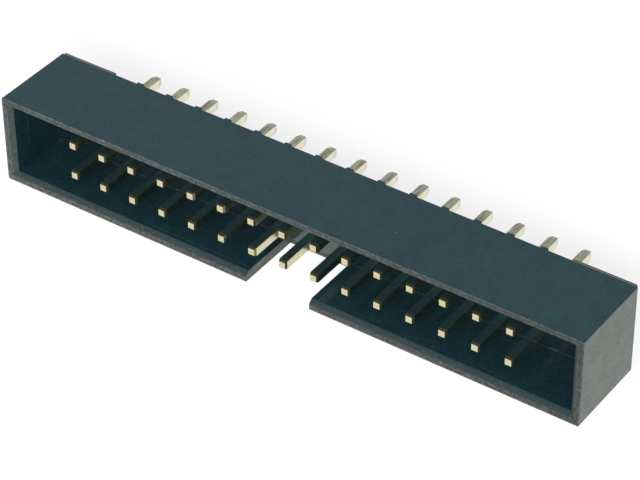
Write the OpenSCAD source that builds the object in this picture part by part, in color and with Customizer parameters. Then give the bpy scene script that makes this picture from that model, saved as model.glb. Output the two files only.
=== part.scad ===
// Straight board header with a shroud, for a two-row ribbon cable plug.
//
// The board is the plane Z = 0 and the mouth opens towards +Z. X runs along
// the contact rows, and the key slot is in the wall at -Y. The origin is the
// middle of the contact grid, in the plane of the board.

/* [Contacts] */
// Distance between neighbouring contacts in a row
pitch = 2.0; // [1.8:0.05:3]
// Distance between the two rows
row_pitch = 2.0; // [1.8:0.05:2.6]
// Number of contacts in each row
columns = 15; // [5:1:29]
// Side of the square contact wire
pin_side = 0.5; // [0.4:0.05:0.65]
// Depth of the contact tips below the rim
tip_recess = 0.45; // [0.2:0.05:1.5]
// Length of the solder tails below the board plane
tail_l = 2.8; // [1.6:0.1:5]
// Depth that the mating tip is cut in by on each side
tip_taper = 0.06; // [0.03:0.01:0.12]
// Length of the tapered mating tip
tip_taper_l = 0.15; // [0.05:0.05:0.4]
// Depth that the tail's end is cut in by on each side
tail_taper = 0.08; // [0.03:0.01:0.15]
// Length of the tail's tapered end
tail_taper_l = 0.3; // [0.1:0.05:0.6]
// Play between a pin and its hole on each side, where 0 is a press fit
pin_play = 0; // [0:0.01:0.05]

/* [Shroud] */
// Width of the cavity across the rows
cavity_w = 4.3; // [3.9:0.1:6]
// Room from the last contact's middle to the end wall
end_room = 3.9; // [2:0.1:8]
// Thickness of the four walls
wall = 0.6; // [0.5:0.05:1.2]
// Height of the rim above the board
rim_h = 5.4; // [4.6:0.1:9]
// Height of the cavity floor above the board
floor_h = 1.6; // [1.2:0.1:2.5]
// Size of the 45 degree lead-in round the mouth
lead_in = 0.25; // [0.1:0.05:0.4]
// Radius of the upright outer corners
corner_r = 0.1; // [0.05:0.05:0.4]

/* [Key slot] */
// Width of the slot
key_w = 4.1; // [2:0.1:8]
// Depth of the slot's bottom edge below the cavity floor
key_drop = 0.3; // [0:0.05:0.6]

/* [Underside] */
// Height of the feet and ribs that hold the body off the board
standoff_h = 0.15; // [0.1:0.05:0.4]
// Distance from the last contact's middle to the foot beyond it
foot_gap = 0.75; // [0.4:0.05:1.5]
// Step from the end face in to the foot
foot_inset = 0.1; // [0:0.05:0.4]
// Width of the ribs between neighbouring contacts
rib_w = 0.4; // [0.2:0.05:0.8]

/* [Hidden] */
body_color = "#2f3f47";
pin_color = "#d8c898";
$fn = 48;
// How far a cut runs on past the face that it opens
over = 1;

pin_count = 2 * columns;
row_l = (columns - 1) * pitch;
cavity_l = row_l + 2 * end_room;
body_l = cavity_l + 2 * wall;
body_w = cavity_w + 2 * wall;
pin_top = rim_h - tip_recess;
hole_side = pin_side + 2 * pin_play;

function pin_name(n) = str("pin_", n < 10 ? "0" : "", n);

// Odd contacts stand in the row beside the key slot, even ones in the other.
function pin_x(n) = floor((n - 1) / 2) * pitch - row_l / 2;
function pin_y(n) = (n % 2 == 1 ? -1 : 1) * row_pitch / 2;

// Makes a profile drawn in X and Z a solid of depth d, centred on Y = 0.
module upright_slab(d) {
    rotate([90, 0, 0]) linear_extrude(d, center = true) children();
}

// Outline of length l and width w with round corners.
module round_rectangle(l, w) {
    square([l - 2 * corner_r, w], center = true);
    square([l, w - 2 * corner_r], center = true);
    for (x = [-1, 1], y = [-1, 1])
        translate([x * (l / 2 - corner_r), y * (w / 2 - corner_r)]) circle(corner_r);
}

// Side view of the contact wire: straight flanks and a tapered end each way.
module wire_profile() {
    flank = pin_side / 2;
    tip = flank - tip_taper;
    tail_end = flank - tail_taper;
    polygon([
        [-tail_end, -tail_l],
        [tail_end, -tail_l],
        [flank, tail_taper_l - tail_l],
        [flank, pin_top - tip_taper_l],
        [tip, pin_top],
        [-tip, pin_top],
        [-flank, pin_top - tip_taper_l],
        [-flank, tail_taper_l - tail_l],
    ]);
}

// Square contact wire, tapered on all four sides at the tip and at the tail.
module contact_pin(n) {
    color(pin_color)
        translate([pin_x(n), pin_y(n), 0])
            intersection() {
                upright_slab(pin_side) wire_profile();
                rotate([0, 0, 90]) upright_slab(pin_side) wire_profile();
            }
}

// Where the underside touches the board: a foot at each end and a rib between
// each two neighbouring columns, all as wide as the body.
module board_contact_outline() {
    foot_l = end_room + wall - foot_gap - foot_inset;
    intersection() {
        round_rectangle(body_l - 2 * foot_inset, body_w);
        for (side = [-1, 1])
            translate([side * (row_l / 2 + foot_gap + foot_l / 2), 0])
                square([foot_l, body_w], center = true);
    }
    for (gap = [1 : columns - 1])
        translate([(gap - 0.5) * pitch - row_l / 2, 0]) square([rib_w, body_w], center = true);
}

// The block before anything is cut from it.
module uncut_body() {
    linear_extrude(floor_h) board_contact_outline();
    translate([0, 0, standoff_h])
        linear_extrude(rim_h - standoff_h) round_rectangle(body_l, body_w);
}

// The well that the plug goes into.
module cavity() {
    translate([0, 0, floor_h])
        linear_extrude(rim_h - floor_h + over) square([cavity_l, cavity_w], center = true);
}

// Side view of the lead-in over a cavity of the given size, widening upwards.
module lead_in_profile(size) {
    bottom = size / 2;
    top = bottom + lead_in + over;
    polygon([
        [-bottom, rim_h - lead_in],
        [bottom, rim_h - lead_in],
        [top, rim_h + over],
        [-top, rim_h + over],
    ]);
}

// The lead-in on all four sides, with mitred corners.
module mouth() {
    depth = body_l + 4 * over;
    intersection() {
        upright_slab(depth) lead_in_profile(cavity_l);
        rotate([0, 0, 90]) upright_slab(depth) lead_in_profile(cavity_w);
    }
}

// The slot that keys the plug: through the -Y wall, and a little below the
// cavity floor, so that a ledge shows in front of the floor.
module key_slot() {
    bottom = floor_h - key_drop;
    translate([-key_w / 2, -body_w / 2 - over, bottom])
        cube([key_w, wall + over, rim_h - bottom + over]);
}

// The square holes that the contact wires are pressed into.
module pin_holes() {
    for (n = [1 : pin_count])
        translate([pin_x(n), pin_y(n), -over])
            linear_extrude(floor_h + 2 * over) square(hole_side, center = true);
}

// One-piece moulded body: floor, shroud, feet and ribs.
module housing() {
    color(body_color)
        difference() {
            uncut_body();
            cavity();
            mouth();
            key_slot();
            pin_holes();
        }
}

housing();
for (n = [1 : pin_count])
    contact_pin(n);
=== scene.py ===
# %% [markdown]
# # A straight box header for flat ribbon cable
#
# A box header is a moulded shroud with two rows of square contact wires. The
# solids come from the part's own construction, so the shapes are settled
# before this lesson starts. What is left is everything that the eye reads as
# material: the dull dark polymer, its smoother core side, the greyer ends and
# rim, and the pale gold of the plated wire.
#
# ## The part
#
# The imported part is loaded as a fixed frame. Nothing in it is moved or
# reshaped, so every size below can be read off it.

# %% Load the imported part
import math

import bpy
from mathutils import Matrix, Vector


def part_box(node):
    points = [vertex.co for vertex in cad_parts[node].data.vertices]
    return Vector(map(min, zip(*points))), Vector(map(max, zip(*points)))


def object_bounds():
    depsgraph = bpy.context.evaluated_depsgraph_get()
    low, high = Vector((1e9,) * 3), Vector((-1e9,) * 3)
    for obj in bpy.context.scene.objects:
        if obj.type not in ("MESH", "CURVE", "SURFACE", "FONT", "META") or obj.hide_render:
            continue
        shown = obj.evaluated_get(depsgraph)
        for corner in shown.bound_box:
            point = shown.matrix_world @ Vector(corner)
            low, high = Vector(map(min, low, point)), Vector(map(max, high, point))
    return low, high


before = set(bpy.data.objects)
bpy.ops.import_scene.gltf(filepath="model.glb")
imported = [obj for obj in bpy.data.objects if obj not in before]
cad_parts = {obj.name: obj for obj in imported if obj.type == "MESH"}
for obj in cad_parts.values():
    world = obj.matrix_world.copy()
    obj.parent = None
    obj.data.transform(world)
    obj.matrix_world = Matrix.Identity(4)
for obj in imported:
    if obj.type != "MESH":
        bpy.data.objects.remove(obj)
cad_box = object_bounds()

MM = 0.001
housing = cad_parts["housing"]
contacts = [piece for name, piece in sorted(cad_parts.items()) if name.startswith("pin_")]
shroud_low, shroud_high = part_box("housing")
tail_tip = cad_box[0].z
print("shroud, mm:", [round(side / MM, 2) for side in shroud_high - shroud_low])
print("contacts:", len(contacts))

# %% [markdown]
# ## The camera
#
# Small parts are shot from far away with a long lens, so that the far end of a
# long body hardly shrinks. The camera stands off the mouth, towards the wall
# without the slot, and it is held as for a part that lies on its slot wall:
# +Y points up in the frame. Building the turn from three directions at right
# angles is surer than guessing three angles.

# %% Camera
view_centre = Vector((0.02, -1.55, 1.46)) * MM
towards_camera = Vector((0.4536, 0.6136, 0.6463)).normalized()
camera_distance = 147.66 * MM
camera_roll = math.radians(0.4)
focal_length, sensor_width = 154.72, 36
nearest_seen, furthest_seen = 0.01, 10

frame_right = Vector((0, 1, 0)).cross(towards_camera).normalized()
frame_up = towards_camera.cross(frame_right)
turn = Matrix((frame_right, frame_up, towards_camera)).transposed().to_4x4()
turn = turn @ Matrix.Rotation(-camera_roll, 4, "Z")

lens = bpy.data.cameras.new("long_lens")
lens.lens = focal_length
lens.sensor_width = sensor_width
lens.clip_start = nearest_seen
lens.clip_end = furthest_seen
camera = bpy.data.objects.new("camera", lens)
camera.matrix_world = Matrix.Translation(view_centre + towards_camera * camera_distance) @ turn
bpy.context.scene.collection.objects.link(camera)
bpy.context.scene.camera = camera
print("camera at, mm:", [round(c / MM, 1) for c in camera.matrix_world.translation])

# %% [markdown]
# ## A way to write materials
#
# A node material is a small network. Writing each node as one call, with its
# inputs given by name, keeps the network as readable as a formula. A value
# may be a number, a colour, or another node's output.

# %% Node helpers
def new_material(name):
    material = bpy.data.materials.new(name)
    material.use_nodes = True
    material.node_tree.nodes.clear()
    return material, material.node_tree


def put(tree, kind, inputs=None, **settings):
    """Adds one node. inputs maps a socket's name or number to a value or an output."""
    made = tree.nodes.new(kind)
    for key, value in settings.items():
        setattr(made, key, value)
    for key, value in (inputs or {}).items():
        if isinstance(value, bpy.types.NodeSocket):
            tree.links.new(value, made.inputs[key])
        else:
            made.inputs[key].default_value = value
    return made


def maths(tree, operation, a, b=0.0, clamp=False):
    return put(tree, "ShaderNodeMath", {0: a, 1: b}, operation=operation, use_clamp=clamp).outputs[0]


def blend_value(tree, share, under, over):
    mix = put(tree, "ShaderNodeMix", {0: share, 2: under, 3: over}, data_type="FLOAT")
    return mix.outputs[0]


def blend_colour(tree, share, under, over):
    mix = put(tree, "ShaderNodeMix", {0: share, 6: under, 7: over}, data_type="RGBA")
    return mix.outputs[2]


print("node helpers ready")

# %% [markdown]
# A finish has to know where it is. The Object coordinates give the place on
# the part, here turned into millimetres, and the Normal output gives the way
# that the surface faces. Both belong to the part, so nothing slides when the
# camera moves. A smooth ramp turns such a number into a soft yes or no.

# %% Place helpers
def in_millimetres(tree):
    """The point on the part in millimetres, whole and split into X, Y and Z."""
    place = put(tree, "ShaderNodeTexCoord").outputs["Object"]
    scaled = put(tree, "ShaderNodeVectorMath", {0: place, "Scale": 1 / MM},
                 operation="SCALE").outputs[0]
    return scaled, put(tree, "ShaderNodeSeparateXYZ", {0: scaled}).outputs


def facing(tree):
    """The direction that the surface faces, split into X, Y and Z."""
    normal = put(tree, "ShaderNodeTexCoord").outputs["Normal"]
    return put(tree, "ShaderNodeSeparateXYZ", {0: normal}).outputs


def ramp_between(tree, value, low, high):
    """0 below low and 1 above high, with a smooth step between."""
    return put(tree, "ShaderNodeMapRange", {"Value": value, "From Min": low, "From Max": high},
               interpolation_type="SMOOTHSTEP").outputs[0]


def fade_between(tree, value, low, high):
    """1 below low and 0 above high."""
    return maths(tree, "SUBTRACT", 1.0, ramp_between(tree, value, low, high))


def size_of(tree, value):
    return maths(tree, "ABSOLUTE", value)


def distance_from(tree, value, middle):
    return size_of(tree, maths(tree, "SUBTRACT", value, middle))


print("place helpers ready")

# %% [markdown]
# ## The stage
#
# The part stands on the tips of its tails on a plain white sheet. The sheet is
# a lit surface that also gives off a little light of its own for what is seen
# straight or in a reflection. That keeps it white without pouring more light
# on the part, and it keeps a soft shadow under the body.

# %% Floor
sheet_half = 0.6
corners = [(-1, -1), (1, -1), (1, 1), (-1, 1)]
sheet_mesh = bpy.data.meshes.new("white_sheet")
sheet_mesh.from_pydata([(x * sheet_half, y * sheet_half, tail_tip) for x, y in corners],
                       [], [(0, 1, 2, 3)])
white_sheet = bpy.data.objects.new("white_sheet", sheet_mesh)
bpy.context.scene.collection.objects.link(white_sheet)
print("floor at z, mm:", round(tail_tip / MM, 2))

# %% White paper
def seen_or_mirrored(tree):
    """1 for what the camera sees straight, in a mirror or through glass."""
    path = put(tree, "ShaderNodeLightPath").outputs
    return maths(tree, "MAXIMUM", path["Is Camera Ray"],
                 maths(tree, "MAXIMUM", path["Is Glossy Ray"], path["Is Transmission Ray"]))


pure_white = (1, 1, 1, 1)
paper_white = (0.86, 0.86, 0.86, 1)
own_glow = 0.8
sheet_white, tree = new_material("white_paper")
paper = put(tree, "ShaderNodeBsdfDiffuse", {"Color": paper_white})
glow = put(tree, "ShaderNodeEmission", {"Color": pure_white, "Strength": 1.0})
glow_share = maths(tree, "MULTIPLY", seen_or_mirrored(tree), own_glow)
mixed = put(tree, "ShaderNodeMixShader", {0: glow_share, 1: paper.outputs[0], 2: glow.outputs[0]})
put(tree, "ShaderNodeOutputMaterial", {"Surface": mixed.outputs[0]})
sheet_mesh.materials.append(sheet_white)
print("paper's own glow:", own_glow)

# %% [markdown]
# ## Light
#
# A white room gives even light from all round, and one large soft lamp above
# the mouth gives the body its light and dark sides. The world is white where
# it is seen or mirrored, and a little dimmer as a source of light.

# %% World
scene = bpy.context.scene
scene.view_settings.view_transform = "Standard"
room = bpy.data.worlds.new("white_room")
room.use_nodes = True
tree = room.node_tree
tree.nodes.clear()
room_light = 0.75
strength = blend_value(tree, seen_or_mirrored(tree), room_light, 1.0)
sky = put(tree, "ShaderNodeBackground", {"Color": pure_white, "Strength": strength})
put(tree, "ShaderNodeOutputWorld", {"Surface": sky.outputs[0]})
scene.world = room
print("room light:", room_light)

# %% Lamp
def soft_lamp(name, place, size, power):
    """A square lamp, in metres and watts, turned towards the part."""
    light = bpy.data.lights.new(name, "AREA")
    light.size = size
    light.energy = power
    lamp = bpy.data.objects.new(name, light)
    lamp.location = place
    lamp.rotation_euler = Vector(place).to_track_quat("Z", "Y").to_euler()
    scene.collection.objects.link(lamp)
    return lamp


key_lamp = soft_lamp("key_lamp", place=(0.10, 0.17, 0.35), size=0.30, power=1.5)
print("lamp at, m:", [round(side, 2) for side in key_lamp.location])

# %% [markdown]
# ## Masks
#
# One material can hold several finishes when each has a mask: a value that is
# 1 where the finish lies and 0 elsewhere. A mask is worked out from where a
# point is and which way its surface faces, so it stays put from every side.
# These few names let masks be written almost as sentences.

# %% Mask helpers
def above(tree, value, limit):
    return maths(tree, "GREATER_THAN", value, limit)


def below(tree, value, limit):
    return maths(tree, "LESS_THAN", value, limit)


def either(tree, first, second):
    return maths(tree, "MAXIMUM", first, second)


def all_of(tree, first, *others):
    """1 where every mask is 1. A plain number among them makes the result weaker."""
    for mask in others:
        first = maths(tree, "MULTIPLY", first, mask)
    return first


def near(tree, value, middle, half_width):
    """1 close to the middle, and 0 beyond twice the half width."""
    return fade_between(tree, distance_from(tree, value, middle), half_width, 2 * half_width)


print("mask helpers ready")

# %% [markdown]
# Colour on a moulded or plated surface is never even. Noise drawn in
# millimetres gives it patches of a chosen size, and stretching the noise turns
# patches into streaks. A second helper makes one colour lighter or darker, so
# that each variation starts from the colour beneath it.

# %% Variation helpers
def cloudy(tree, point, scale, detail, roughness=0.5, stretch=None):
    """Smooth noise. scale is in patches per millimetre, and stretch is per axis."""
    if stretch:
        point = put(tree, "ShaderNodeMapping", {"Vector": point, "Scale": stretch}).outputs[0]
    return put(tree, "ShaderNodeTexNoise", {"Vector": point, "Scale": scale, "Detail": detail,
                                            "Roughness": roughness}).outputs["Fac"]


def shaded(tree, colour, value, saturation=1.0):
    """The same colour, lighter or darker."""
    return put(tree, "ShaderNodeHueSaturation",
               {"Color": colour, "Value": value, "Saturation": saturation}).outputs[0]


print("variation helpers ready")

# %% [markdown]
# ## Moulded polymer
#
# The shroud is glass-filled polymer, almost black with a blue cast. It isn't
# one even finish. The outside was moulded against a spark-eroded steel and is
# dull. The core that forms the cavity is smoother, and its floor is polished.
# The ends, the rim and the sides of the slot are painted greyer: a painted
# sheen of the light they reflect. So the first step is a mask for each of these.

# %% Polymer: faces and heights
polymer, tree = new_material("glass_filled_polymer")
point, (px, py, pz) = in_millimetres(tree)
nx, ny, nz = facing(tree)
half_length = shroud_high.x / MM
half_width = shroud_high.y / MM
rim_height = shroud_high.z / MM
wall_thickness = 0.6
lead_in = 0.25
floor_height = 1.6
slot_half = 2.05
hair, slack = 0.01, 0.05
squarely, nearly, slanting = (0.9, 0.98), (0.8, 0.95), (0.4, 0.6)

out_along = size_of(tree, px)
out_across = size_of(tree, py)
faces_end = ramp_between(tree, size_of(tree, nx), *nearly)
faces_up = ramp_between(tree, nz, *squarely)
slopes_up = maths(tree, "SUBTRACT", ramp_between(tree, nz, *slanting), faces_up, clamp=True)
slopes_along = ramp_between(tree, size_of(tree, nx), *slanting)
at_rim = ramp_between(tree, pz, rim_height - lead_in - slack, rim_height - lead_in)
print("half length, half width and rim, mm:",
      [round(side, 2) for side in (half_length, half_width, rim_height)])

# %% Polymer: rim, ends and slot sides
rim_flat = all_of(tree, faces_up, at_rim)
rim_slope = all_of(tree, slopes_up, at_rim)
end_slope = all_of(tree, rim_slope, slopes_along)
end_face = all_of(tree, faces_end,
                  ramp_between(tree, out_along, half_length - 4 * slack, half_length - slack))

inner_half_length = half_length - wall_thickness
inner_half_width = half_width - wall_thickness
in_keyed_wall = below(tree, py, -inner_half_width + 2 * hair)
beside_slot = below(tree, distance_from(tree, out_along, slot_half), slack)
slot_side = all_of(tree, faces_end, beside_slot, in_keyed_wall)
print("masks: rim flat, rim slope, end slope, end face, slot side")

# %% [markdown]
# The cavity's floor is split once more. A strip of it along the keyed wall is
# painted darkest, a painted shade, except behind the slot, where it is a little
# greyer, a painted light from the slot. The slot is cut lower than the floor, so
# its bottom is a small ledge of its own, painted greyest of all as painted light.

# %% Polymer: cavity, floor and ledge
strip_edge = -1.2
inside = all_of(tree, below(tree, out_along, inner_half_length + hair),
                below(tree, out_across, inner_half_width + hair),
                above(tree, pz, floor_height - slack))
on_floor = all_of(tree, inside, faces_up, below(tree, pz, floor_height + slack))
floor_by_keyed_wall = all_of(tree, on_floor, below(tree, py, strip_edge))
within_slot = below(tree, out_along, slot_half + 2 * hair)
floor_by_slot = all_of(tree, floor_by_keyed_wall, within_slot)
slot_ledge = all_of(tree, faces_up, within_slot, below(tree, pz, floor_height - 2 * slack),
                    in_keyed_wall)
print("masks: inside, floor, floor by the keyed wall, floor by the slot, slot ledge")

# %% [markdown]
# ## The polymer's colours
#
# The rim's flat is painted grey, a painted sheen, and that painted sheen fades
# along X. It also differs between the keyed wall and the plain one. Blending
# four corner colours gives both changes at once. The lead-in is greyer at its
# top, where it meets the rim's flat, and its fade along X is painted too.

# %% Polymer: colour of the rim's flat
def share_between(tree, value, low, high):
    """0 at low and 1 at high, in a straight line."""
    return put(tree, "ShaderNodeMapRange",
               {"Value": value, "From Min": low, "From Max": high}).outputs[0]


painted_fade_along_x = share_between(tree, px, -half_length, half_length)
to_plain_side = share_between(tree, py, -half_width, half_width)
# painted sheen: the rim's grey at each end and on each side stands in for the light it reflects
rim_sheen_at_minus_x = {"keyed side": (0.065, 0.071, 0.063, 1), "plain side": (0.049, 0.063, 0.064, 1)}
rim_sheen_at_plus_x = {"keyed side": (0.041, 0.048, 0.043, 1), "plain side": (0.034, 0.046, 0.043, 1)}
rim_colour = blend_colour(
    tree, painted_fade_along_x,
    blend_colour(tree, to_plain_side, rim_sheen_at_minus_x["keyed side"], rim_sheen_at_minus_x["plain side"]),
    blend_colour(tree, to_plain_side, rim_sheen_at_plus_x["keyed side"], rim_sheen_at_plus_x["plain side"]))
print("rim: grey at four corners, blended")

# %% Polymer: colour of the lead-in
# the lead-in's fade along X is painted light as well
slope_at_minus_x = {"low": (0.0142, 0.0330, 0.0370, 1), "high": (0.0270, 0.0400, 0.0355, 1)}
slope_at_plus_x = {"low": (0.0057, 0.0240, 0.0315, 1), "high": (0.0162, 0.0289, 0.0302, 1)}
# painted reflection: the grey of the lead-in at the ends
end_slope_reflection_grey = (0.042, 0.054, 0.053, 1)
up_the_slope = ramp_between(tree, pz, rim_height - 0.22, rim_height - 0.02)
slope_colour = blend_colour(
    tree, up_the_slope,
    blend_colour(tree, painted_fade_along_x, slope_at_minus_x["low"], slope_at_plus_x["low"]),
    blend_colour(tree, painted_fade_along_x, slope_at_minus_x["high"], slope_at_plus_x["high"]))
slope_colour = blend_colour(tree, end_slope, slope_colour, end_slope_reflection_grey)
print("lead-in: two heights, and its own grey at the ends")

# %% [markdown]
# The outermost edge of the rim is paler, a painted highlight where the edge
# catches the light. A little way in from it runs a faint dark line. It comes
# and goes, so it is multiplied with the large mottling.

# %% Polymer: painted edge highlight and dark line on the rim
highlight_value, dark_line_value = 1.22, 0.62
highlight_from, highlight_to = 0.14, 0.06
dark_line_in = 0.16
mottle = cloudy(tree, point, 0.9, 5.0, 0.6)

# painted highlight: the paler outermost edge of the rim
outermost = either(
    tree, ramp_between(tree, out_across, half_width - highlight_from, half_width - highlight_to),
    ramp_between(tree, out_along, half_length - highlight_from, half_length - highlight_to))
rim_colour = blend_colour(tree, outermost, rim_colour, shaded(tree, rim_colour, highlight_value))

# a faint dark line a little way in from the rim's edge
from_edge = maths(tree, "MINIMUM", maths(tree, "SUBTRACT", half_width, out_across),
                  maths(tree, "SUBTRACT", half_length, out_along))
on_line = all_of(tree,
                 fade_between(tree, distance_from(tree, from_edge, dark_line_in), 0.015, 0.05),
                 ramp_between(tree, mottle, 0.35, 0.60))
rim_colour = blend_colour(tree, on_line, rim_colour, shaded(tree, rim_colour, dark_line_value))
print("parting line, mm from the edge:", dark_line_in)

# %% [markdown]
# With the masks and the rim's colours ready, the finishes are laid over the
# wall's colour one after another. Where two overlap, the later one wins.

# %% Polymer: one colour for each finish
wall_colour = (0.0024, 0.0268, 0.0359, 1)
# the cavity's own colour, painted lighter to stand in for the light that fills the cavity
core_colour_painted_lighter = (0.0108, 0.0345, 0.0455, 1)
# painted shade on the floor strip; painted light on the strip behind the slot and on the slot's
# ledge
shaded_strip_colour = (0.0055, 0.0175, 0.0225, 1)
lit_slot_strip_colour = (0.014, 0.032, 0.032, 1)
lit_ledge_colour = (0.046, 0.060, 0.058, 1)
# painted reflection: the grey of the end faces and the slot's sides
end_reflection_grey = (0.116, 0.134, 0.119, 1)
finishes = [
    (inside, core_colour_painted_lighter),
    (floor_by_keyed_wall, shaded_strip_colour),
    (floor_by_slot, lit_slot_strip_colour),
    (slot_ledge, lit_ledge_colour),
    (rim_slope, slope_colour),
    (rim_flat, rim_colour),
    (end_face, end_reflection_grey),
    (slot_side, end_reflection_grey),
]
colour = wall_colour
for mask, finish_colour in finishes:
    colour = blend_colour(tree, mask, colour, finish_colour)
print("finishes over the wall colour:", len(finishes))

# %% [markdown]
# ## Fine lines
#
# A few fine lines are laid on. A pale one along the foot of the keyed wall is a
# painted highlight, where the corner catches the light. A pale one just below
# the lead-in of that wall is a painted reflection, and a faint pale one crosses
# the inner face of the first end. The feet have a thin dark band at the bottom,
# and a pale painted highlight along their edge. Each line is a narrow band of heights on a known
# face.

# %% Polymer: painted highlight at the foot of the keyed wall
# painted highlight: the pale line where the floor meets the keyed wall
corner_highlight_colour = (0.026, 0.050, 0.057, 1)
from_corner = maths(tree, "ADD", maths(tree, "SUBTRACT", pz, floor_height),
                    maths(tree, "SUBTRACT", py, -inner_half_width))
corner_highlight = all_of(tree, inside, fade_between(tree, from_corner, 0.04, 0.10),
                     ramp_between(tree, mottle, 0.46, 0.68))
colour = blend_colour(tree, corner_highlight, colour, corner_highlight_colour)
print("line at the foot of the keyed wall")

# %% Polymer: fine pale lines, one a painted reflection
pale_line_colour = (0.060, 0.085, 0.090, 1)
pale_line_strength = 0.4
line_half_width = 0.02
faces_inward = 0.8
# painted reflection: the pale line just below the lead-in; the end line is a faint pale line
lead_in_line = {"height": 4.92, "from": -9.0, "to": -2.1}
end_line = {"height": 4.13, "from": -0.7, "to": 2.0}


def pale_line(line, facing_part, along):
    """A level line on a cavity face, from one place along it to another."""
    return all_of(tree, inside, above(tree, facing_part, faces_inward),
                  near(tree, pz, line["height"], line_half_width),
                  above(tree, along, line["from"]), below(tree, along, line["to"]))


pale_lines = either(tree, pale_line(lead_in_line, ny, px), pale_line(end_line, nx, py))
pale_lines = all_of(tree, pale_lines, pale_line_strength)
colour = blend_colour(tree, pale_lines, colour, pale_line_colour)
print("insert lines at heights, mm:", lead_in_line["height"], end_line["height"])

# %% Polymer: dark band and painted edge highlight on the feet
foot_start = 14.75
# a thin dark band at the bottom of the feet
dark_band_height = 0.20
# painted highlight: the pale line along the feet's edge
edge_highlight_height, edge_highlight_half = 0.11, 0.04
dark_band_colour = (0.017, 0.023, 0.021, 1)
edge_highlight_colour = (0.112, 0.110, 0.096, 1)
on_foot = all_of(tree, above(tree, out_along, foot_start),
                 above(tree, out_across, half_width - 2 * hair))
dark_band = all_of(tree, on_foot, below(tree, pz, dark_band_height))
edge_highlight = all_of(tree, on_foot,
                    below(tree, distance_from(tree, pz, edge_highlight_height), edge_highlight_half))
colour = blend_colour(tree, dark_band, colour, dark_band_colour)
colour = blend_colour(tree, edge_highlight, colour, edge_highlight_colour)
print("flash on the feet, mm high:", dark_band_height)

# %% [markdown]
# ## Mottling
#
# Short glass fibres and pigment make the colour uneven at several sizes. Three
# noises are added: broad patches, a fine grain, and streaks that lie along the
# flow. The faces that slide past the steel also carry lines drawn along Z.

# %% Polymer: patches, grain and streaks
mottled_dark, mottled_light = 0.70, 1.38


def centred_share(tree, noise, spread, share):
    """A noise stretched to 0 to 1 about its middle, as a share of a sum."""
    return maths(tree, "MULTIPLY", ramp_between(tree, noise, 0.5 - spread, 0.5 + spread), share)


grain = cloudy(tree, point, 7.0, 3.0, 0.55)
streaks = cloudy(tree, point, 1.0, 2.0, 0.6, stretch=(3.5, 9.0, 9.0))
uneven = maths(tree, "ADD", centred_share(tree, mottle, 0.20, 0.30),
               maths(tree, "ADD", centred_share(tree, grain, 0.15, 0.30),
                     centred_share(tree, streaks, 0.15, 0.40)))
colour = blend_colour(tree, uneven, shaded(tree, colour, mottled_dark),
                      shaded(tree, colour, mottled_light))
print("mottling, darkest and lightest:", mottled_dark, mottled_light)

# %% Polymer: lines drawn by the steel
scraped_value = 0.72
share_on_ends = 0.30
tool_lines = cloudy(tree, point, 1.0, 3.0, 0.6, stretch=(4.0, 6.0, 0.7))
drawn_faces = either(tree, slot_side, all_of(tree, end_face, share_on_ends))
scraped = all_of(tree, drawn_faces, ramp_between(tree, tool_lines, 0.38, 0.56))
colour = blend_colour(tree, scraped, colour, shaded(tree, colour, scraped_value))
print("drawn lines on the slot's sides, and fainter on the ends")

# %% [markdown]
# The rim lies where the parts of the mould close, and it is frosted in pale
# and dark patches. A few small pits lie on the ends, and stray pale specks
# anywhere. Cells of a Voronoi texture, cut off close to their middles, make
# scattered dots.

# %% Polymer: frosted rim
frosted_value, dark_frost_value = 1.5, 0.68
share_on_slope = 0.5
frost = cloudy(tree, point, 6.0, 2.0)
frosted_faces = either(tree, rim_flat, all_of(tree, rim_slope, share_on_slope))
pale_frost = all_of(tree, frosted_faces, ramp_between(tree, frost, 0.52, 0.60))
dark_frost = all_of(tree, frosted_faces, fade_between(tree, frost, 0.36, 0.46))
frosted = shaded(tree, colour, frosted_value)
darkened = shaded(tree, colour, dark_frost_value)
colour = blend_colour(tree, pale_frost, colour, frosted)
colour = blend_colour(tree, dark_frost, colour, darkened)
print("frost on the rim, pale and dark:", frosted_value, dark_frost_value)

# %% Polymer: pits and specks
def dots(tree, point, per_mm, size, offset=0.0):
    """1 on small scattered dots, 0 between them."""
    moved = put(tree, "ShaderNodeVectorMath", {0: point, 1: (offset, offset, offset)},
                operation="ADD").outputs[0]
    cells = put(tree, "ShaderNodeTexVoronoi", {"Vector": moved, "Scale": per_mm, "Randomness": 1.0})
    return below(tree, cells.outputs["Distance"], size)


pit_value = 0.62
pits = all_of(tree, end_face, dots(tree, point, 0.8, 0.09, offset=2.0))
colour = blend_colour(tree, pits, colour, shaded(tree, colour, pit_value))

speck_colour = (0.20, 0.23, 0.23, 1)
speck_strength = 0.4
specks = all_of(tree, dots(tree, point, 0.7, 0.03), above(tree, mottle, 0.57), speck_strength)
colour = blend_colour(tree, specks, colour, speck_colour)
print("pits on the ends, and stray specks")

# %% [markdown]
# ## Relief and shine
#
# The dull outside is a fine relief as much as a roughness, so it gets both.
# Inside, the relief is a seventh as deep, and the floor has a thin clear coat
# that stands for its polish: light that comes in through the slot shows on it.
# A Bevel node softens the shading of the edges by a twentieth of a millimetre,
# since no moulded edge is a knife.

# %% Polymer: relief
relief_height = 0.012 * MM
relief_strength = 0.55
relief_inside = 0.15
edge_softness = 0.05 * MM
relief = all_of(tree, cloudy(tree, point, 16.0, 2.0, 0.6),
                blend_value(tree, inside, 1.0, relief_inside))
soft_edges = put(tree, "ShaderNodeBevel", {"Radius": edge_softness}, samples=4).outputs[0]
bump = put(tree, "ShaderNodeBump",
           {"Height": relief, "Distance": relief_height, "Strength": relief_strength,
            "Normal": soft_edges}).outputs[0]
print("relief, mm:", relief_height / MM)

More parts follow.
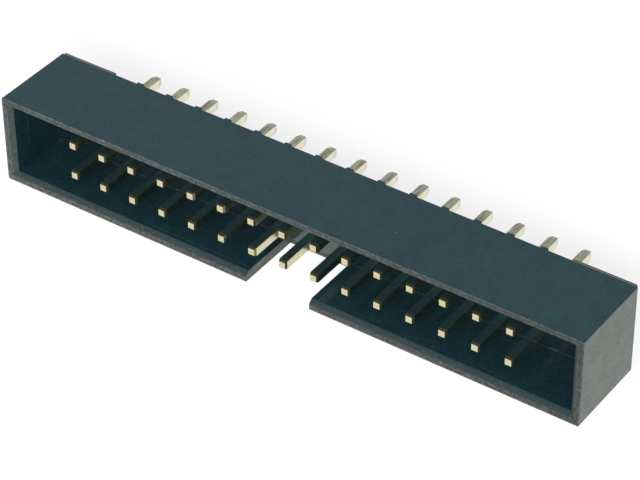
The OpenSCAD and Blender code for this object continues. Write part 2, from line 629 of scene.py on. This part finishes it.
# %% Polymer: shine
rough_outside, rough_inside, rough_spread = 0.46, 0.24, 0.16
rough = maths(tree, "ADD", blend_value(tree, inside, rough_outside, rough_inside),
              maths(tree, "MULTIPLY", maths(tree, "SUBTRACT", grain, 0.5), rough_spread))
shader = put(tree, "ShaderNodeBsdfPrincipled",
             {"Base Color": colour, "Roughness": rough, "IOR": 1.5, "Specular IOR Level": 0.24,
              "Coat Weight": on_floor, "Coat Roughness": 0.12, "Coat IOR": 1.6,
              "Normal": bump, "Coat Normal": bump})
put(tree, "ShaderNodeOutputMaterial", {"Surface": shader.outputs[0]})
for slot in housing.material_slots:
    slot.material = polymer
print("polymer on", housing.name, "slots:", len(housing.material_slots))

# %% [markdown]
# ## Plated contact wire
#
# The contacts are square wire with a thin pale gold plating. On the tails, the
# two rolled sides of the strip are scored along the wire and painted darker, a
# painted shade for their dim reflection, and the cut sides are brighter. In the
# mouth, the rolled side away from the slot is painted cool and dark, a painted
# reflection of the cavity. The small tapers at the ends are painted brown, a painted shade.

# %% Wire: where each finish lies
plating, tree = new_material("gold_plated_wire")
point, (px, py, pz) = in_millimetres(tree)
nx, ny, nz = facing(tree)
tail_top = 0.5
taper_limits = (0.93, 0.985)
on_tail = below(tree, pz, tail_top)
rolled_face = all_of(tree, ramp_between(tree, size_of(tree, ny), *squarely), on_tail)
flank = maths(tree, "SUBTRACT", ramp_between(tree, ny, *squarely), on_tail, clamp=True)
squareness = either(tree, either(tree, size_of(tree, nx), size_of(tree, ny)), size_of(tree, nz))
pressed_taper = fade_between(tree, squareness, *taper_limits)
print("wire masks: tail, rolled face, flank, pressed taper")

# %% Wire: colours of the plating
mating_gold = (0.70, 0.655, 0.43, 1)
tail_gold = (0.90, 0.87, 0.68, 1)
# painted shade: the rolled sides of the tails darkened
rolled_gold_painted_dark = (0.36, 0.36, 0.28, 1)
colour = blend_colour(tree, on_tail, mating_gold, tail_gold)
colour = blend_colour(tree, rolled_face, colour, rolled_gold_painted_dark)

scored_value = 0.55
scores = cloudy(tree, point, 1.0, 2.0, stretch=(13.0, 1.0, 0.9))
scored = all_of(tree, rolled_face, ramp_between(tree, scores, 0.46, 0.60))
colour = blend_colour(tree, scored, colour, shaded(tree, colour, scored_value))
print("plating: gold in the mouth, paler tails, scored rolled sides")

# %% Wire: flank, tapers and rubbed patches
# painted reflection: the cool dark teal of the flank in the mouth
flank_painted_reflection = (0.27, 0.45, 0.46, 1)
# painted shade: the brown on the pressed tapers
taper_painted_shade = (0.20, 0.175, 0.105, 1)
colour = blend_colour(tree, flank, colour, flank_painted_reflection)
colour = blend_colour(tree, pressed_taper, colour, taper_painted_shade)

rubbed_value, rubbed_saturation = 0.86, 1.1
lines = cloudy(tree, point, 1.0, 4.0, 0.65, stretch=(14.0, 14.0, 1.1))
cloud = cloudy(tree, point, 3.0, 3.0)
rubbed = all_of(tree, ramp_between(tree, lines, 0.35, 0.65), ramp_between(tree, cloud, 0.3, 0.7))
colour = blend_colour(tree, rubbed, colour,
                      shaded(tree, colour, rubbed_value, rubbed_saturation))
print("wire: cool flank, bare tapers, rubbed patches")

# %% [markdown]
# Plating is metal all over, and the tapers and the flank are only a little
# less so. The drawn lines also go into the roughness and into a relief of two
# thousandths of a millimetre, so that a highlight breaks up along the wire.

# %% Wire: shine
rough_plating, rough_flank, rough_spread = 0.18, 0.30, 0.08
less_metal_on_flank, less_metal_on_taper = 0.05, 0.2
line_height = 0.002 * MM
line_strength = 0.4
metallic = maths(tree, "SUBTRACT",
                 maths(tree, "SUBTRACT", 1.0, all_of(tree, flank, less_metal_on_flank)),
                 all_of(tree, pressed_taper, less_metal_on_taper))
rough = maths(tree, "ADD", blend_value(tree, flank, rough_plating, rough_flank),
              maths(tree, "MULTIPLY", maths(tree, "SUBTRACT", lines, 0.5), rough_spread))
wire_bump = put(tree, "ShaderNodeBump", {"Height": lines, "Distance": line_height,
                                         "Strength": line_strength}).outputs[0]
shader = put(tree, "ShaderNodeBsdfPrincipled",
             {"Base Color": colour, "Metallic": metallic, "Roughness": rough,
              "Normal": wire_bump})
put(tree, "ShaderNodeOutputMaterial", {"Surface": shader.outputs[0]})
for contact in contacts:
    for slot in contact.material_slots:
        slot.material = plating
print("plating on", len(contacts), "contacts")
